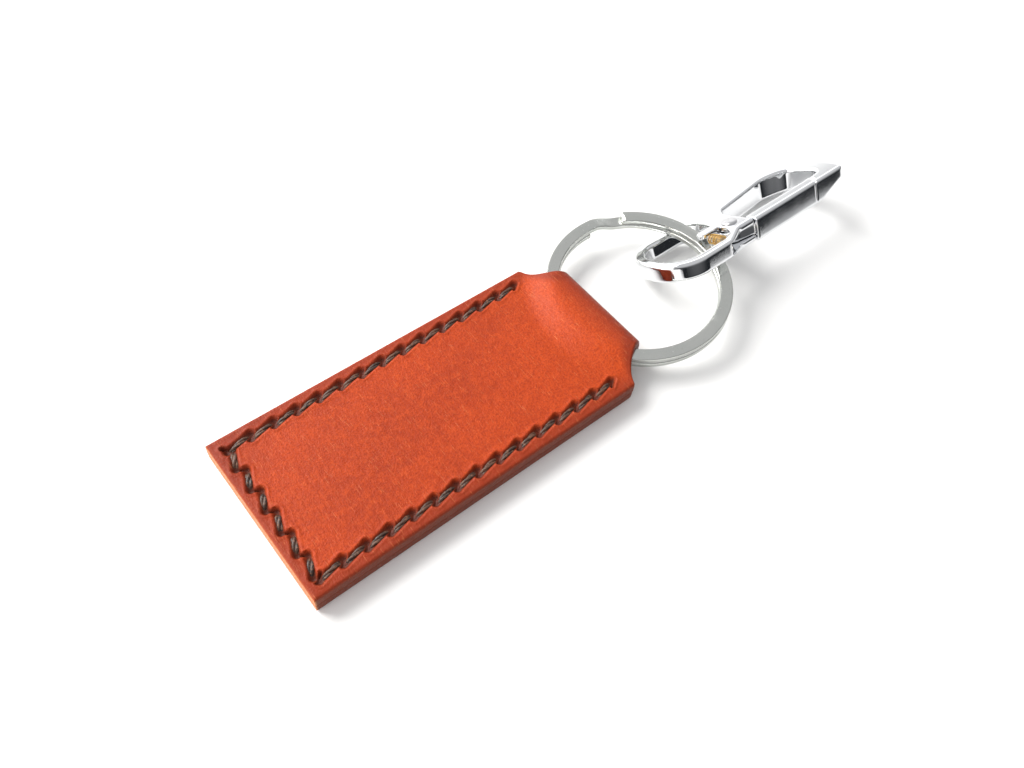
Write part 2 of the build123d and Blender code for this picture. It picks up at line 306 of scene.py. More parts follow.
def leather_material(props):
    """Saddle leather: orange-brown, mottled, scuffed with fine pale hairs, darker at the edges,
    with painted shade in the stitch marks, along the fold and on the under face, and a painted
    highlight on the closed end's wall.
    """
    s = Shader("saddle_leather")
    border_and_shade = s.attribute("border_and_shade")
    groove_shade = s.attribute("groove_shade")
    wall = s.attribute("wall")
    loop = s.attribute("loop")
    cloud = s.noise(90.0, 4.0, 0.6)
    mottle = s.noise(800.0, 6.0, 0.75)
    grain = s.noise(3400.0, 3.0, 0.7)
    pores = s.cells(2900.0)
    wrinkle = s.noise(1700.0, 3.0, 0.65, s.stretched((1.0, 0.4, 1.0), (0, 0, 0.5)))
    colour = s.mix(s.span(cloud, 0.36, 0.66, 0.4, 1.0), props.leather_deep, props.leather_base)
    colour = s.mix(s.span(mottle, 0.44, 0.66, 0.0, 0.6), colour, props.leather_bright)
    colour = s.mix(s.maths("MULTIPLY", loop, 0.4), colour, props.leather_bright)
    # this mask holds the darker edge tint and also painted shade along the fold and on the under
    # face
    rubbed = s.maths("MULTIPLY", border_and_shade, s.span(mottle, 0.3, 0.6, 0.7, 1.0))
    colour = s.mix(rubbed, colour, props.leather_border_and_shade)
    colour = s.mix(s.span(grain, 0.47, 0.62, 0.0, 0.65), colour, props.leather_deep)
    for turn, share in ((0.65, 0.4), (-0.35, 0.3), (1.35, 0.25)):
        hairs = s.noise(700.0, 2.0, 0.7, s.stretched((9.0, 0.55, 1.0), (0, 0, turn)))
        hairs = s.span(hairs, 0.66, 0.74, 0.0, share)
        colour = s.mix(hairs, colour, props.leather_scuff)
    # painted shade: the leather is darkened in the stitch grooves and awl slits
    colour = s.mix(s.maths("MULTIPLY", groove_shade, 0.85), colour, props.leather_groove_shade)
    # painted highlight: the closed end's wall is painted paler than the long walls
    end = s.attribute("end")
    edge = s.mix(end, props.leather_edge, props.leather_end_highlight)
    fibres = s.span(s.noise(900.0, 4.0, 0.7), 0.35, 0.7, 0.0, 0.45)
    edge = s.mix(fibres, edge, props.leather_border_and_shade)
    colour = s.mix(wall, colour, edge)
    s.set(Base_Color=colour)
    s.set(Roughness=s.span(s.maths("ADD", mottle, grain), 0.75, 1.25, 0.38, 0.62))
    normal = s.bump(pores, 0.45, 0.06)
    normal = s.bump(grain, 0.7, 0.09, normal)
    normal = s.bump(wrinkle, 0.6, 0.15, normal)
    normal = s.bump(mottle, 0.35, 0.2, normal)
    s.set(Normal=normal, Specular_IOR_Level=0.18, Coat_Weight=0.02, Coat_Roughness=0.3)
    return s.material


def thread_material(props):
    """Waxed thread: dark brown with paler rubbed fibres."""
    s = Shader("waxed_thread")
    fibres = s.noise(2600.0, 3.0, 0.7, s.stretched((1.0, 1.0, 2.0), (0, 0, 0.4)))
    cloud = s.noise(260.0, 3.0)
    colour = s.mix(s.span(cloud, 0.4, 0.65), props.thread_dark, props.thread_base)
    colour = s.mix(s.span(fibres, 0.5, 0.75, 0.0, 0.8), colour, props.thread_pale)
    s.set(Base_Color=colour, Roughness=s.span(fibres, 0.3, 0.7, 0.34, 0.6))
    s.set(Normal=s.bump(fibres, 0.6, 0.06), Specular_IOR_Level=0.5)
    s.set(Sheen_Weight=0.05, Sheen_Roughness=0.4)
    return s.material


def metal_material(name, colour, tint, low, high, relief=0.0, streak=(1, 1, 1)):
    """Polished or plated metal with faint clouding, hairline wear and small dings."""
    s = Shader(name)
    cloud = s.noise(140.0, 3.0, 0.55)
    lines = s.noise(1800.0, 3.0, 0.7, s.stretched(streak))
    specks = s.noise(3200.0, 2.0, 0.6)
    shade = s.mix(s.span(cloud, 0.35, 0.7), colour, tint)
    shade = s.mix(s.span(specks, 0.66, 0.78, 0.0, 0.3), shade, (0.25, 0.24, 0.22, 1))
    s.set(Base_Color=shade, Metallic=1.0)
    wear = s.maths("ADD", s.span(cloud, 0.3, 0.7, low, high), s.span(lines, 0.6, 0.8, 0.0, 0.1))
    s.set(Roughness=wear)
    if relief > 0:
        normal = s.bump(lines, relief, 0.02)
        s.set(Normal=s.bump(cloud, relief, 0.08, normal))
    return s.material


# --------------------------------------------------------------------- leather
# the strip: one layer, its fold, the collar over the ring and the space inside it
LAYER = 1.8
FOLD_ROUND = 2.4
SWELL_LOW_R = 19.3
SWELL_HIGH_R = 13.2
TUNNEL_R = 15.85
TUNNEL_HALF = 1.33
FOLD_START = FOLD_X - FOLD_ROUND
FOLD_WALL = FOLD_X - 1.2
SEAM_GAP = 0.012
EDGE_ROUND = 0.45
SEAM_LIP = 0.05
STRIPS = 24
STITCH_PITCH = 3.55
SIDE_ROW = 2.3
END_ROW = 2.1
LAST_HOLE = 2.9
END_LEAN, END_PULL, END_SLIT = -0.56, 0.42, (0.80, -0.60)
SIDE_LEAN, SIDE_PULL, SIDE_SLIT = 0.42, -0.15, (0.80, 0.60)
SLIT_HALF = 0.66
FRONT_PRESS, FRONT_LIP = 0.34, 0.11
BACK_PRESS, BACK_LIP = 0.42, 0.06
NOTCH_START = 27.45
NOTCH = ((NOTCH_START, HALF_WIDTH), (29.78, 10.316), (FOLD_X + 0.01, 8.6))
FOLD_PROBE, INNER_PROBE = 8.7, 8.5
# finer grid lines: beside the two long rows, and along the row across the closed end
ROW_INSIDE, ROW_OUTSIDE = 9.95, 12.95
END_ROW_LIMIT, SWELL_START = -23.0, 25.6


def circle_through(points):
    """Centre and radius of the circle through three points."""
    (ax, ay), (bx, by), (cx, cy) = points
    rows = np.array([[bx - ax, by - ay], [cx - ax, cy - ay]])
    right = 0.5 * np.array(
        [bx * bx - ax * ax + by * by - ay * ay, cx * cx - ax * ax + cy * cy - ay * ay]
    )
    centre = np.linalg.solve(rows, right)
    return centre, math.hypot(ax - centre[0], ay - centre[1])


def half_width_at(x):
    """Half of the strip's width: full in the body, a concave scoop beside the loop."""
    centre, radius = circle_through(NOTCH)
    inside = np.clip(radius**2 - (x - centre[0]) ** 2, 0, None)
    scoop = centre[1] - np.sqrt(inside)
    return np.where(x < NOTCH_START, HALF_WIDTH, np.minimum(scoop, HALF_WIDTH))


def ease(t):
    """Smooth step between 0 and 1, a little steeper than the usual one."""
    t = np.clip(t, 0, 1)
    return 0.5 * (3 * t**2 - 2 * t**3) + 0.5 * (6 * t**5 - 15 * t**4 + 10 * t**3)


def ring_distance(x, y):
    """Distance from the ring's centre in plan."""
    return np.hypot(RING_CENTRE.x - x, y)


def front_face(x, y):
    """Height of the front face, which climbs over the ring as a collar."""
    share = (SWELL_LOW_R - ring_distance(x, y)) / (SWELL_LOW_R - SWELL_HIGH_R)
    return 2 * LAYER + (LOOP_HEIGHT - 2 * LAYER) * ease(share)


def ring_level(x):
    """Height of the middle of the tilted ring."""
    return RING_CENTRE.z + (x - RING_CENTRE.x) * RING_RISE


def inner_faces(x, y):
    """Heights of the two layers' meeting faces, which part around the ring."""
    opened = ease((TUNNEL_R + 0.9 - ring_distance(x, y)) / 1.4)
    upper = LAYER + SEAM_GAP + (ring_level(x) + TUNNEL_HALF - LAYER - SEAM_GAP) * opened
    lower = LAYER - SEAM_GAP + (ring_level(x) - TUNNEL_HALF - LAYER + SEAM_GAP) * opened
    return upper, lower


def fold_points(share, y):
    """Outer and inner place on the fold, from its top (0) to its bottom (1)."""
    middle = LOOP_HEIGHT / 2
    reach = FOLD_ROUND
    back = (middle**2 - reach**2) / (2 * reach)
    radius = reach + back
    half_angle = math.asin(middle / radius)
    angle = half_angle * (1 - 2 * share)
    outer = (
        FOLD_START - back + radius * np.cos(angle),
        middle + radius * np.sin(angle),
    )
    upper, lower = inner_faces(FOLD_START, y)
    turn = math.pi * (0.5 - share)
    level = (upper + lower) / 2
    inner = (
        FOLD_START + (FOLD_WALL - FOLD_START) * np.abs(np.cos(turn)) ** 0.7,
        level + (upper - lower) / 2 * np.sin(turn),
    )
    return outer, inner


def lines(*parts):
    """Sorted grid lines from (start, end, step) parts."""
    found = []
    for start, end, step in parts:
        count = max(1, int(round((end - start) / step)))
        found.extend(np.linspace(start, end, count + 1)[:-1])
    found.append(parts[-1][1])
    return np.array(found)


def edge_steps(count):
    """(inset, depth) round a burnished edge, then down the wall to the seam's lip."""
    steps = []
    for i in range(count + 1):
        turn = math.pi / 2 * i / count
        steps.append((EDGE_ROUND * (1 - math.sin(turn)), EDGE_ROUND * (1 - math.cos(turn))))
    return steps


def stitch_holes():
    """Awl holes in sewing order, evenly spaced along each row."""
    side_y = HALF_WIDTH - SIDE_ROW
    end_x = -HALF_LENGTH + END_ROW
    last_x = HALF_LENGTH - LAST_HOLE
    side_count = round((last_x - end_x) / STITCH_PITCH)
    end_count = round(2 * side_y / STITCH_PITCH)
    side_step = (last_x - end_x) / side_count
    end_step = 2 * side_y / end_count
    holes = [(last_x - i * side_step, side_y) for i in range(side_count)]
    holes += [(end_x, side_y - i * end_step) for i in range(end_count)]
    holes += [(end_x + i * side_step, -side_y) for i in range(side_count + 1)]
    return holes


def stitches():
    """Start and end of each stitch, leaning across its row."""
    made = []
    holes = stitch_holes()
    for (x0, y0), (x1, y1) in zip(holes, holes[1:]):
        along = Vector((x1 - x0, y1 - y0))
        length = along.length
        along /= length
        across = Vector((-along.y, along.x))
        end_row = abs(along.y) > 0.5
        lean = END_LEAN if end_row else SIDE_LEAN
        pull = END_PULL if end_row else SIDE_PULL
        start = Vector((x0, y0)) - across * lean + along * pull
        stop = Vector((x1, y1)) + across * lean - along * pull
        made.append((start, stop, end_row))
    return made


def stitch_relief(x, y, depth, lip):
    """How far the face is pressed in along the stitches, and how much painted shade falls in the
    grooves and awl slits there.
    """
    fall = np.zeros_like(x)
    rise = np.zeros_like(x)
    dark = np.zeros_like(x)
    rows = stitches()
    for start, stop, end_row in rows:
        near = (
            (x > min(start.x, stop.x) - 2.2)
            & (x < max(start.x, stop.x) + 2.2)
            & (y > min(start.y, stop.y) - 2.2)
            & (y < max(start.y, stop.y) + 2.2)
        )
        if not near.any():
            continue
        px, py = x[near], y[near]
        axis = stop - start
        length = axis.length
        axis /= length
        t = (px - start.x) * axis.x + (py - start.y) * axis.y
        v = (px - start.x) * -axis.y + (py - start.y) * axis.x
        beyond = np.maximum(np.maximum(-t, t - length), 0)
        distance = np.hypot(v, beyond)
        share = np.clip(t / length, 0, 1)
        dip = 1 + 0.75 * np.abs(2 * share - 1) ** 3
        width = 0.44 + 0.10 * np.abs(2 * share - 1)
        trough = depth * dip * np.exp(-((distance / width) ** 4))
        fall[near] = np.maximum(fall[near], trough)
        crest = 0.35 + 0.65 * np.abs(2 * share - 1) ** 2
        swell = lip * crest * np.exp(-(((distance - 0.78) / 0.26) ** 2))
        rise[near] = np.maximum(rise[near], swell)
        # painted shade along the stitch trough
        dark[near] = np.maximum(dark[near], np.exp(-((distance / 0.50) ** 4)))
    for (hx, hy), (start, stop, end_row) in zip(stitch_holes(), rows + rows[-1:]):
        near = (np.abs(x - hx) < 1.6) & (np.abs(y - hy) < 1.6)
        if not near.any():
            continue
        slit = Vector(END_SLIT if end_row else SIDE_SLIT)
        px, py = x[near] - hx, y[near] - hy
        t = px * slit.x + py * slit.y
        v = -px * slit.y + py * slit.x
        beyond = np.maximum(np.abs(t) - SLIT_HALF, 0)
        distance = np.hypot(v, beyond)
        cut = (depth * 1.9) * np.exp(-((distance / 0.24) ** 2))
        fall[near] = np.maximum(fall[near], cut)
        # painted shade in the awl slit
        dark[near] = np.maximum(dark[near], np.exp(-((distance / 0.32) ** 2)))
        pucker = lip * 1.3 * np.exp(-(((distance - 0.5) / 0.22) ** 2))
        rise[near] = np.maximum(rise[near], pucker)
    return rise * np.clip(1 - fall / (0.5 * depth), 0, 1) - fall, dark


class Sheet:
    """Vertices and faces of the folded strip while they are being laid out."""

    def __init__(self):
        self.rim = edge_steps(4)
        self.wall = (0.35, 0.7, 0.92)
        columns = lines(
            (-HALF_WIDTH + EDGE_ROUND, -ROW_OUTSIDE, 0.2),
            (-ROW_OUTSIDE, -ROW_INSIDE, 0.155),
            (-ROW_INSIDE, ROW_INSIDE, 0.2),
            (ROW_INSIDE, ROW_OUTSIDE, 0.155),
            (ROW_OUTSIDE, HALF_WIDTH - EDGE_ROUND, 0.2),
        )
        # each column: signed inset from the edge or a y value, and a share of the depth
        low = [(inset, depth, 0.0) for inset, depth in self.rim[1:]]
        low += [(0.0, EDGE_ROUND, share) for share in self.wall]
        low += [(SEAM_LIP, EDGE_ROUND, 1.0)]
        self.columns = [(-1, step) for step in reversed(low)]
        self.columns += [(0, y) for y in columns]
        self.columns += [(1, step) for step in low]
        self.end_steps = low

    def stations(self):
        """Stops along the strip: front face to the fold, round it, and the back face."""
        front = lines(
            (-HALF_LENGTH + EDGE_ROUND, END_ROW_LIMIT, 0.16),
            (END_ROW_LIMIT, SWELL_START, 0.19),
            (SWELL_START, FOLD_START, 0.24),
        )
        back = lines(
            (-HALF_LENGTH + EDGE_ROUND, SWELL_START, 0.33),
            (SWELL_START, FOLD_START, 0.4),
        )
        made = [("front", None, step) for step in reversed(self.end_steps)]
        made += [("front", x, None) for x in front]
        made += [("fold", share, None) for share in np.linspace(0, 1, 19)[1:-1]]
        made += [("back", x, None) for x in back[::-1]]
        made += [("back", None, step) for step in self.end_steps]
        return made


def strip_point(station, column):
    """Place of one grid point before the stitches press it in."""
    side, x, end_step = station
    kind, step = column
    end_inset, end_depth, end_share = end_step or (0.0, 0.0, 0.0)
    y_inset, y_depth, y_share = (0.0, 0.0, 0.0) if kind == 0 else step
    depth = max(end_depth, y_depth)
    share = max(end_share, y_share)
    if side == "fold":
        probe_y = step if kind == 0 else kind * (FOLD_PROBE - y_inset)
        outer, inner = fold_points(x, probe_y)
        dx, dz = inner[0] - outer[0], inner[1] - outer[1]
        thick = math.hypot(dx, dz)
        s = (depth + (thick - depth) * share) / thick
        px, pz = outer[0] + dx * s, outer[1] + dz * s
        width = float(half_width_at(px))
        py = step * width / HALF_WIDTH if kind == 0 else kind * (width - y_inset)
        return px, py, pz
    px = -HALF_LENGTH + end_inset if x is None else x
    width = float(half_width_at(px))
    py = kind * (width - y_inset)
    if kind == 0:
        limit = HALF_WIDTH - EDGE_ROUND
        py = step if width > HALF_WIDTH - 1e-6 else step / limit * (width - EDGE_ROUND)
    if side == "front":
        outer_z = float(front_face(px, py))
        inner_z = float(inner_faces(px, py)[0])
        thick = outer_z - inner_z
        return px, py, outer_z - (depth + (thick - depth) * share)
    inner_z = float(inner_faces(px, py)[1])
    return px, py, depth + (inner_z - depth) * share


def inner_point(station, y_share):
    """Place of one point on the hidden faces between the layers."""
    side, x, end_step = station
    end_inset = end_step[0] if end_step else 0.0
    if side == "fold":
        inner = fold_points(x, y_share * INNER_PROBE)[1]
        width = float(half_width_at(inner[0])) - SEAM_LIP
        return inner[0], y_share * width, inner[1]
    px = -HALF_LENGTH + end_inset if x is None else x
    py = y_share * (float(half_width_at(px)) - SEAM_LIP)
    return px, py, float(inner_faces(px, py)[0 if side == "front" else 1])


def folded_strip(name):
    """The leather as one strip, folded round the ring, with its seam and stitch marks."""
    sheet = Sheet()
    stations = sheet.stations()
    columns = sheet.columns
    rows, cols = len(stations), len(columns)
    points = np.array([[strip_point(s, c) for c in columns] for s in stations])
    sides = np.array([{"front": 1, "fold": 0, "back": -1}[s[0]] for s in stations])
    x, y = points[..., 0], points[..., 1]
    flat = np.array([c[0] == 0 for c in columns])[None, :] & np.array(
        [s[2] is None for s in stations]
    )[:, None]
    front = flat & (sides[:, None] > 0)
    back = flat & (sides[:, None] < 0)
    groove_shade = np.zeros((rows, cols))
    presses = ((front, FRONT_PRESS, FRONT_LIP, 1), (back, BACK_PRESS, BACK_LIP, -1))
    for mask, depth, lip, up in presses:
        relief, dark = stitch_relief(x[mask], y[mask], depth, lip)
        if up < 0:
            relief = np.minimum(relief, 0)
        points[mask, 2] += up * relief
        # this mask is painted shade for the stitch grooves and awl slits
        groove_shade[mask] = dark
    inner_shares = [-1.0 + 2.0 * k / STRIPS for k in range(STRIPS + 1)]
    picks = [int(round(k * (cols - 1) / STRIPS)) for k in range(STRIPS + 1)]
    inner = np.array([[inner_point(s, h) for h in inner_shares] for s in stations])
    verts = np.concatenate([points.reshape(-1, 3), inner[:, 1:-1].reshape(-1, 3)])
    base = rows * cols
    faces = []
    for i in range(rows - 1):
        for j in range(cols - 1):
            a = i * cols + j
            faces.append((a, a + cols, a + cols + 1, a + 1))

    def inner_id(i, k):
        if k == 0:
            return i * cols
        if k == STRIPS:
            return i * cols + cols - 1
        if i == 0 or i == rows - 1:
            return i * cols + picks[k]
        return base + i * (STRIPS - 1) + k - 1

    for i in range(rows - 1):
        for k in range(STRIPS):
            ring = [inner_id(i, k), inner_id(i, k + 1)]
            if i == 0:
                ring = [j for j in range(picks[k], picks[k + 1] + 1)]
            below = [inner_id(i + 1, k + 1), inner_id(i + 1, k)]
            if i + 1 == rows - 1:
                below = [(rows - 1) * cols + j for j in range(picks[k + 1], picks[k] - 1, -1)]
            faces.append(tuple(ring + below))
    bpy.ops.mesh.primitive_plane_add(size=MM)
    made = bpy.context.object
    made.name = name
    mesh = bpy.data.meshes.new(name)
    mesh.from_pydata((verts * MM).tolist(), [], faces)
    made.data = mesh
    wall = np.array(
        [[1.0 if (c[0] != 0 or s[2] is not None) else 0.0 for c in columns] for s in stations]
    )
    round_rim = np.array([[strip_wall(s, c) for c in columns] for s in stations])
    loop = np.clip((x - 14.0) / 13.0, 0, 1) * (1 - 0.75 * np.clip((x - 29.5) / 3, 0, 1))
    values = {
        "groove_shade": (groove_shade, 0.0),
        "wall": (wall * round_rim, 1.0),
        "border_and_shade": (border_tint_and_shade(x, y, sides), 0.0),
        # end: mask for the painted highlight on the closed end's wall
        "end": (np.clip((-HALF_LENGTH + 0.3 - x) / 0.25, 0, 1), 0.0),
        "loop": (loop, 0.0),
    }
    for key, (grid, rest) in values.items():
        data = np.full(len(verts), rest)
        data[:base] = grid.ravel()
        made.data.attributes.new(key, "FLOAT", "POINT").data.foreach_set(
            "value", data.astype(np.float32)
        )
    return made


def strip_wall(station, column):
    """1 on the cut edges, 0 on the faces, in between round the burnished edge."""
    found = 0.0
    for step in (station[2], column[1] if column[0] != 0 else None):
        if step is not None:
            found = max(found, min(1.0, (step[1] / EDGE_ROUND) ** 1.5 + step[2]))
    return found


def border_tint_and_shade(x, y, sides):
    """Darker tint towards the fob's outline, with painted shade along the fold and on the under
    face.
    """
    to_side = half_width_at(x) - np.abs(y)
    to_end = x + HALF_LENGTH
    to_outline = np.minimum(to_side, to_end)
    tint = np.clip(1 - (to_outline - 0.6) / 2.4, 0, 1) ** 0.8
    corner = np.clip(1 - np.hypot(x + HALF_LENGTH, (y - HALF_WIDTH)) / 11, 0, 1)
    # painted shade along the rounded fold
    fold = np.clip((x - 28.2) / 3.0, 0, 1)
    # painted shade on the under face
    under = np.where(sides[:, None] < 0, 0.35, 0.0)
    return np.clip(0.85 * tint + 0.6 * corner + 0.8 * fold + under, 0, 1)


# --------------------------------------------------------------------- thread
STRAND = 0.22
STRAND_OFFSET = 0.2
FRONT_SINK = 0.30
BACK_SINK = 0.40


def one_stitch(name):
    """A straight bundle of three strands along X, from 0 to 1 mm long; the twist is put in where
    it is copied.
    """
    strands = []
    for number in range(3):
        deselect()
        bpy.ops.mesh.primitive_cylinder_add(
            vertices=8, radius=STRAND * MM, depth=MM, rotation=(0, math.pi / 2, 0)
        )
        strand = bpy.context.object
        bpy.ops.object.transform_apply(location=True, rotation=True, scale=True)
        bpy.ops.object.mode_set(mode="EDIT")
        bpy.ops.mesh.select_mode(type="EDGE")
        bpy.ops.mesh.select_all(action="DESELECT")
        bpy.ops.object.mode_set(mode="OBJECT")
        for edge in strand.data.edges:
            a, b = (strand.data.vertices[i].co for i in edge.vertices)
            edge.select = abs(a.x - b.x) > 0.5 * MM
        bpy.ops.object.mode_set(mode="EDIT")
        bpy.ops.mesh.subdivide(number_cuts=15)
        bpy.ops.object.mode_set(mode="OBJECT")
        turn = 2 * math.pi * number / 3
        offset = STRAND_OFFSET * MM
        shift = Vector((0.5 * MM, offset * math.cos(turn), offset * math.sin(turn)))
        strand.data.transform(Matrix.Translation(shift))
        strands.append(strand)
    bundle = join(strands, name)
    return bundle


def sewn_thread(name):
    """Every stitch, front and back, each a twisted bundle that dives into its holes."""
    pattern = one_stitch("stitch")
    base = vertices_of(pattern) / MM
    pieces = []
    for level, flip in ((2 * LAYER - FRONT_SINK, 1), (BACK_SINK, -1)):
        for number, (start, stop, end_row) in enumerate(stitches()):
            axis = stop - start
            length = axis.length
            direction = axis / length
            share = np.clip(base[:, 0], 0, 1)
            twist = math.radians(210) * (share - 0.5) + 0.7 * number
            c, s = np.cos(twist), np.sin(twist)
            side = base[:, 1] * c - base[:, 2] * s
            up = base[:, 1] * s + base[:, 2] * c
            taper = 1 - 0.35 * np.abs(2 * share - 1) ** 3
            wide = 1.25 if end_row else 1.1
            side = side * taper * wide
            up = up * taper * 0.78
            bow = np.abs(2 * share - 1) ** 3.2
            z = level + flip * (up - 0.85 * bow)
            t = share * length
            co = np.stack(
                [
                    start.x + direction.x * t - direction.y * side,
                    start.y + direction.y * t + direction.x * side,
                    z,
                ],
                axis=1,
            )
            piece = bpy.data.objects.new("stitch_copy", pattern.data.copy())
            bpy.context.scene.collection.objects.link(piece)
            set_vertices(piece, co * MM)
            pieces.append(piece)
    bpy.data.objects.remove(pattern)
    made = join(pieces, name)
    edit_all(made, lambda: bpy.ops.mesh.normals_make_consistent(inside=False))
    return made


# ---------------------------------------------------------------------- metal
def cast_copy(node, name, voxel, rounds):
    """A CAD node as a softened casting: fine skin, then smoothed in the clip's own frame."""
    made = copy_of_node(node, name)
    place = clip_matrix()
    made.data.transform(place.inverted())
    apply_modifier(made, "REMESH", "skin", mode="VOXEL", voxel_size=voxel * MM, adaptivity=0.0)
    apply_modifier(made, "SMOOTH", "soften", factor=0.5, iterations=rounds)
    made.data.transform(place)
    made.data.update()
    activate(made)
    bpy.ops.object.shade_smooth()
    return made


def turned(name, steps, sides=40):
    """A turned part along Z: a disc extruded and resized through (radius, height) steps."""
    deselect()
    radius, height = steps[0]
    bpy.ops.mesh.primitive_circle_add(
        vertices=sides, radius=radius * MM, fill_type="NGON", location=(0, 0, height * MM)
    )
    made = bpy.context.object
    bpy.ops.object.transform_apply(location=True, rotation=True, scale=True)
    bpy.ops.object.mode_set(mode="EDIT")
    bpy.ops.mesh.select_all(action="SELECT")
    for next_radius, next_height in steps[1:]:
        move = (0, 0, (next_height - height) * MM)
        bpy.ops.mesh.extrude_region_move(TRANSFORM_OT_translate={"value": move})
        factor = next_radius / radius
        bpy.ops.transform.resize(
            value=(factor, factor, 1), center_override=(0, 0, next_height * MM)
        )
        radius, height = next_radius, next_height
    bpy.ops.object.mode_set(mode="OBJECT")
    made.name = name
    edit_all(made, lambda: bpy.ops.mesh.normals_make_consistent(inside=False))
    return made


def rivet(name):
    """Rivet with two low domed heads, in the clip's frame."""
    half = 2.1
    dome = [(1.34, 0.0), (1.34, 0.12), (1.25, 0.24), (1.02, 0.33), (0.6, 0.38), (0.2, 0.4)]
    steps = [(r, -half - h) for r, h in reversed(dome)]
    steps += [(0.9, -half + 0.02), (0.9, half - 0.02)]
    steps += [(r, half + h) for r, h in dome]
    made = turned(name, steps)
    made.data.transform(Matrix.Translation(Vector((*RIVET_UV, 0)) * MM))
    made.data.transform(clip_matrix())
    smooth(made, 35)
    return made


def coil_spring(name):
    """Small compression spring with closed ends, between the eye's band and the tail."""
    wire, radius, turns = 0.15, 0.75, 6.0
    start, end = -4.93, -2.37
    deselect()
    bpy.ops.mesh.primitive_circle_add(
        vertices=10, radius=wire * MM, fill_type="NOTHING",
        location=(radius * MM, 0, 0), rotation=(math.pi / 2, 0, 0),
    )
    made = bpy.context.object
    bpy.ops.object.transform_apply(location=True, rotation=True, scale=True)
    apply_modifier(
        made, "SCREW", "coil", axis="Z", angle=2 * math.pi * turns,
        screw_offset=turns * MM, steps=int(26 * turns), render_steps=int(26 * turns),
    )
    edit_all(
        made,
        lambda: bpy.ops.mesh.remove_doubles(threshold=0.001 * MM),
        lambda: bpy.ops.mesh.fill_holes(sides=12),
        lambda: bpy.ops.mesh.normals_make_consistent(inside=False),
    )
    co = vertices_of(made) / MM
    low, high = co[:, 2].min() + wire, co[:, 2].max() - wire
    turn = co[:, 2].copy()
    share = np.clip((turn - low) / (high - low), 0, 1)
    flat = 1.1 / turns
    eased = np.interp(share, [0, flat, 1 - flat, 1], [0, 0.12, 0.88, 1])
    centre = low + share * (high - low)
    local = turn - centre
    across = (end - start) * eased
    co[:, 2] = start + across + np.clip(local, -wire, wire)
    moved = np.stack([co[:, 0] + SPRING_U, co[:, 2], co[:, 1] + SPRING_W], axis=1)
    set_vertices(made, moved * MM)
    made.data.transform(clip_matrix())
    made.name = name
    activate(made)
    bpy.ops.object.shade_smooth()
    return made


# ---------------------------------------------------------------- properties
def colour_property(name, description, default):
    """A colour that a user may change."""
    return bpy.props.FloatVectorProperty(
        name=name, description=description, default=default, size=4,
        min=0.0, max=1.0, subtype="COLOR",
    )


class KeyFobLeatherProperties(bpy.types.PropertyGroup):
    """Colours of the leather and the thread."""

    leather_base: colour_property("Leather", "Main colour", (0.42, 0.045, 0.006, 1))
    leather_bright: colour_property("Bright", "Lighter patches", (0.54, 0.068, 0.009, 1))
    leather_deep: colour_property("Deep", "Darker patches", (0.27, 0.025, 0.004, 1))
    leather_scuff: colour_property("Scuff", "Fine pale hairs", (0.78, 0.26, 0.10, 1))
    # darker tint by the edges, also the colour of the painted shade along the fold and under face
    leather_border_and_shade: colour_property("Border", "Tint by the edges", (0.22, 0.026, 0.008, 1))
    # colour of the painted shade in the stitch grooves and awl slits
    leather_groove_shade: colour_property("Groove", "In the stitch marks", (0.040, 0.010, 0.005, 1))
    leather_edge: colour_property("Edge", "Burnished long edges", (0.17, 0.040, 0.018, 1))
    # colour of the painted highlight on the closed end's wall
    leather_end_highlight: colour_property("End", "Paler closed end", (0.66, 0.24, 0.09, 1))
    thread_base: colour_property("Thread", "Main colour", (0.080, 0.032, 0.016, 1))
    thread_dark: colour_property("Thread dark", "Waxed hollows", (0.022, 0.010, 0.006, 1))
    thread_pale: colour_property("Thread pale", "Rubbed fibres", (0.27, 0.125, 0.065, 1))


class KeyFobMetalProperties(bpy.types.PropertyGroup):
    """Colours and skin of the metal pieces."""

    nickel: colour_property("Nickel", "Split ring", (0.62, 0.63, 0.60, 1))
    chrome: colour_property("Chrome", "Clip", (0.80, 0.81, 0.82, 1))
    steel: colour_property("Steel", "Rivet", (0.66, 0.66, 0.66, 1))
    brass: colour_property("Brass", "Spring", (0.83, 0.58, 0.24, 1))
    skin: bpy.props.FloatProperty(
        name="Casting skin", description="Size of the mesh cells on the clip",
        default=0.12 * MM, min=0.05 * MM, max=0.5 * MM, subtype="DISTANCE", unit="LENGTH",
    )


class KeyFobStageProperties(bpy.types.PropertyGroup):
    """Light and camera."""

    lens: bpy.props.FloatProperty(
        name="Lens", description="Focal length", default=30.89, min=10, max=200,
        subtype="DISTANCE_CAMERA",
    )
    key_power: bpy.props.FloatProperty(
        name="Key light", description="Power of the window light", default=5.6, min=0,
        subtype="POWER", unit="POWER",
    )
    side_power: bpy.props.FloatProperty(
        name="Side light", description="Power of the low light on the closed end",
        default=0.9, min=0, subtype="POWER", unit="POWER",
    )
    floor_size: bpy.props.FloatProperty(
        name="Floor", description="Side of the floor", default=4.0, min=0.5,
        subtype="DISTANCE", unit="LENGTH",
    )


# ----------------------------------------------------------------- operators
class KEYFOB_OT_leather(bpy.types.Operator):
    """Build the folded leather strip"""

    bl_idname = "keyfob.leather"
    bl_label = "Leather strip"

    def execute(self, context):
        made = folded_strip("leather_body")
        merge_doubles(made, 0.002)
        activate(made)
        bpy.ops.object.shade_smooth_by_angle(angle=math.radians(55))
        material = leather_material(context.scene.keyfob_leather)
        finish_piece(made, "fob", "leather", material, "leather_strip")
        return {"FINISHED"}


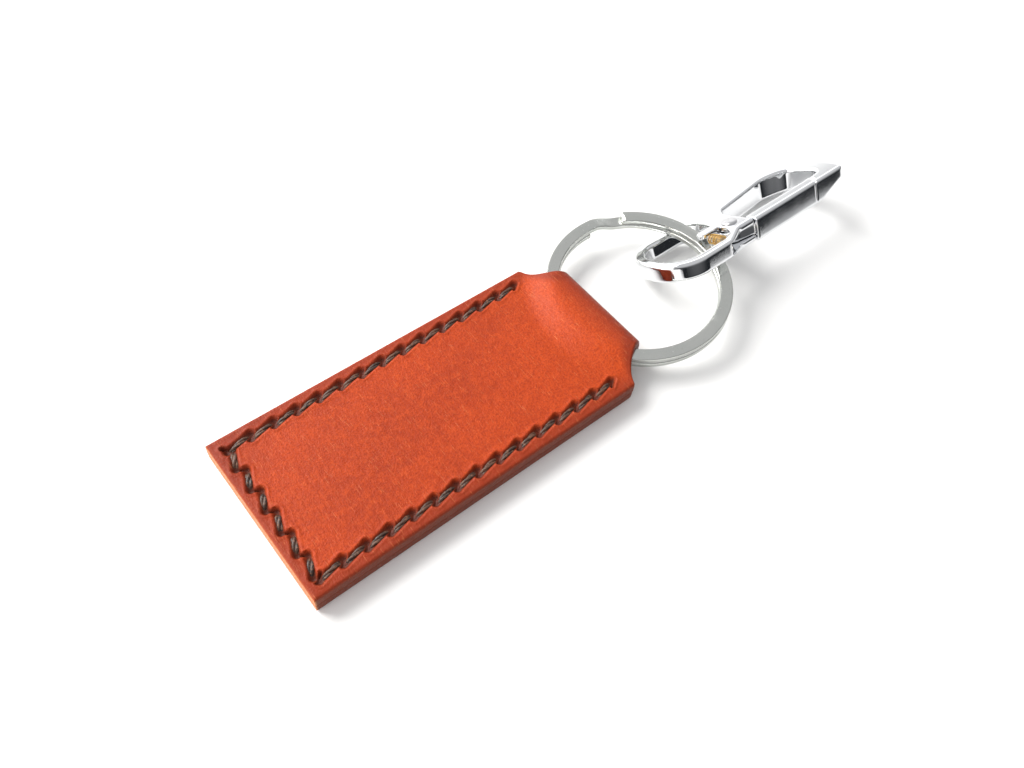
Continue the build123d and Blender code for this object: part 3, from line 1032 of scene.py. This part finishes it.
class KEYFOB_OT_thread(bpy.types.Operator):
    """Sew the stitches"""

    bl_idname = "keyfob.thread"
    bl_label = "Stitching"

    def execute(self, context):
        made = sewn_thread("saddle_stitching")
        smooth(made, 60)
        material = thread_material(context.scene.keyfob_leather)
        finish_piece(made, "fob", "thread", material, "stitching_thread")
        return {"FINISHED"}


class KEYFOB_OT_ring(bpy.types.Operator):
    """Finish the split ring"""

    bl_idname = "keyfob.ring"
    bl_label = "Split ring"

    def execute(self, context):
        colours = context.scene.keyfob_metal
        made = copy_of_node("split_ring", "ring_coils")
        smooth(made, 32)
        material = metal_material(
            "nickel_wire", colours.nickel, (0.56, 0.58, 0.55, 1), 0.16, 0.26, 0.15, (1, 1, 6)
        )
        finish_piece(made, "ring", "ring_steel", material, "split_ring")
        return {"FINISHED"}


class KEYFOB_OT_clip(bpy.types.Operator):
    """Finish the cast frame of the clip and its gate"""

    bl_idname = "keyfob.clip"
    bl_label = "Clip frame and gate"

    def execute(self, context):
        colours = context.scene.keyfob_metal
        material = metal_material(
            "chrome_plate", colours.chrome, (0.76, 0.77, 0.79, 1), 0.025, 0.07, 0.03, (1, 4, 4)
        )
        cell = colours.skin / MM
        body = cast_copy("clip_frame", "clip_casting", cell, 3)
        finish_piece(body, "clip", "clip_chrome", material, "clip_frame")
        gate = cast_copy("clip_gate", "gate_lever", cell, 2)
        finish_piece(gate, "gate", "clip_chrome", material, "clip_gate")
        return {"FINISHED"}


class KEYFOB_OT_small(bpy.types.Operator):
    """Make the gate's rivet and spring"""

    bl_idname = "keyfob.small_parts"
    bl_label = "Rivet and spring"

    def execute(self, context):
        colours = context.scene.keyfob_metal
        steel = metal_material(
            "rivet_steel", colours.steel, (0.55, 0.55, 0.56, 1), 0.18, 0.3, 0.1
        )
        head = rivet("rivet_heads")
        finish_piece(head, "clip", "rivet_steel", steel, "gate_rivet")
        brass = metal_material(
            "spring_brass", colours.brass, (0.70, 0.46, 0.18, 1), 0.16, 0.28, 0.1
        )
        spring = coil_spring("spring_coils")
        finish_piece(spring, "clip", "spring_brass", brass, "gate_spring")
        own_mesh(spring)
        return {"FINISHED"}


CAMERA_PLACE = (-0.04021, -0.05442, 0.10921)
CAMERA_RIGHT = (0.7738, -0.6284, 0.0798)
CAMERA_BACK = (-0.4094, -0.4000, 0.8200)


def area_light(name, place, target, size, power, colour):
    """A soft box that faces a point."""
    data = bpy.data.lights.new(name, "AREA")
    data.shape = "RECTANGLE"
    data.size, data.size_y = size
    data.energy = power
    data.color = colour
    lamp = bpy.data.objects.new(name, data)
    bpy.context.scene.collection.objects.link(lamp)
    lamp.location = place
    lamp.rotation_mode = "QUATERNION"
    away = Vector(place) - Vector(target)
    lamp.rotation_quaternion = away.to_track_quat("Z", "Y")


def studio_world():
    """Bright behind the object and overhead, dark in front of it near the horizon."""
    world = bpy.data.worlds.new("studio")
    bpy.context.scene.world = world
    world.use_nodes = True
    tree = world.node_tree
    back = tree.nodes["Background"]
    place = tree.nodes.new("ShaderNodeTexCoord")
    split = tree.nodes.new("ShaderNodeSeparateXYZ")
    tree.links.new(place.outputs["Generated"], split.inputs[0])
    sweep = tree.nodes.new("ShaderNodeMapRange")
    tree.links.new(split.outputs["Y"], sweep.inputs["Value"])
    sweep.inputs["From Min"].default_value = -0.75
    sweep.inputs["From Max"].default_value = 0.75
    lift = tree.nodes.new("ShaderNodeMapRange")
    tree.links.new(split.outputs["Z"], lift.inputs["Value"])
    lift.inputs["From Min"].default_value = 0.05
    lift.inputs["From Max"].default_value = 0.65
    low = tree.nodes.new("ShaderNodeValToRGB")
    tree.links.new(sweep.outputs["Result"], low.inputs["Fac"])
    low.color_ramp.elements[0].color = (0.02, 0.022, 0.025, 1)
    low.color_ramp.elements[1].color = (1.9, 1.9, 1.9, 1)
    dark_end = low.color_ramp.elements.new(0.38)
    dark_end.color = (0.05, 0.052, 0.055, 1)
    mix = tree.nodes.new("ShaderNodeMix")
    mix.data_type = "RGBA"
    tree.links.new(lift.outputs["Result"], mix.inputs["Factor"])
    tree.links.new(low.outputs["Color"], mix.inputs["A"])
    mix.inputs["B"].default_value = (0.66, 0.66, 0.67, 1)
    tree.links.new(mix.outputs["Result"], back.inputs["Color"])
    back.inputs["Strength"].default_value = 1.0


def floor_material():
    """Plain pale floor."""
    s = Shader("pale_floor")
    tone = s.noise(3.0, 2.0)
    s.set(Base_Color=s.mix(s.span(tone, 0.3, 0.7), (0.90, 0.90, 0.89, 1), (0.93, 0.93, 0.925, 1)))
    s.set(Roughness=0.9, Specular_IOR_Level=0.1)
    return s.material


class KEYFOB_OT_stage(bpy.types.Operator):
    """Set up the floor, the light and the camera"""

    bl_idname = "keyfob.stage"
    bl_label = "Stage"

    def execute(self, context):
        props = context.scene.keyfob_stage
        deselect()
        bpy.ops.mesh.primitive_grid_add(
            x_subdivisions=8, y_subdivisions=8, size=props.floor_size, location=(0, 0, -0.00005)
        )
        floor = bpy.context.object
        floor.name = "floor"
        floor.data.materials.append(floor_material())
        studio_world()
        area_light(
            "window", (-0.18, 0.42, 0.38), (0.0, 0.0, 0.0), (0.45, 0.35),
            props.key_power, (1.0, 0.99, 0.97),
        )
        area_light(
            "side", (-0.42, -0.02, 0.10), (-0.03, 0.0, 0.002), (0.30, 0.16),
            props.side_power, (1.0, 0.96, 0.92),
        )
        camera_data = bpy.data.cameras.new("camera")
        camera = bpy.data.objects.new("camera", camera_data)
        context.scene.collection.objects.link(camera)
        camera_data.lens = props.lens
        camera_data.clip_start = 0.005
        right = Vector(CAMERA_RIGHT).normalized()
        back = Vector(CAMERA_BACK).normalized()
        up = back.cross(right).normalized()
        right = up.cross(back)
        turn = Matrix((right, up, back)).transposed().to_4x4()
        camera.matrix_world = Matrix.Translation(CAMERA_PLACE) @ turn
        context.scene.camera = camera
        context.scene.view_settings.view_transform = "Standard"
        return {"FINISHED"}


class KEYFOB_PT_panel(bpy.types.Panel):
    """Lists the pieces of the key fob"""

    bl_idname = "KEYFOB_PT_panel"
    bl_label = "Key fob"
    bl_space_type = "VIEW_3D"
    bl_region_type = "UI"
    bl_category = "Key Fob"

    def draw(self, context):
        for group in (
            context.scene.keyfob_leather, context.scene.keyfob_metal, context.scene.keyfob_stage,
        ):
            for key in group.__annotations__:
                self.layout.prop(group, key)
        for operator in OPERATORS:
            self.layout.operator(operator.bl_idname)


OPERATORS = (
    KEYFOB_OT_leather,
    KEYFOB_OT_thread,
    KEYFOB_OT_ring,
    KEYFOB_OT_clip,
    KEYFOB_OT_small,
    KEYFOB_OT_stage,
)
GROUPS = {
    "keyfob_leather": KeyFobLeatherProperties,
    "keyfob_metal": KeyFobMetalProperties,
    "keyfob_stage": KeyFobStageProperties,
}


def register():
    """Register the classes and hang the properties on the scene."""
    for name, group in GROUPS.items():
        bpy.utils.register_class(group)
        setattr(bpy.types.Scene, name, bpy.props.PointerProperty(type=group))
    for item in (*OPERATORS, KEYFOB_PT_panel):
        bpy.utils.register_class(item)


def unregister():
    """Take it all out again."""
    for item in reversed((*OPERATORS, KEYFOB_PT_panel)):
        bpy.utils.unregister_class(item)
    for name, group in GROUPS.items():
        delattr(bpy.types.Scene, name)
        bpy.utils.unregister_class(group)


def main():
    """Build everything."""
    register()
    bpy.ops.keyfob.leather()
    bpy.ops.keyfob.thread()
    bpy.ops.keyfob.ring()
    bpy.ops.keyfob.clip()
    bpy.ops.keyfob.small_parts()
    bpy.ops.keyfob.stage()


if __name__ == "__main__":
    main()
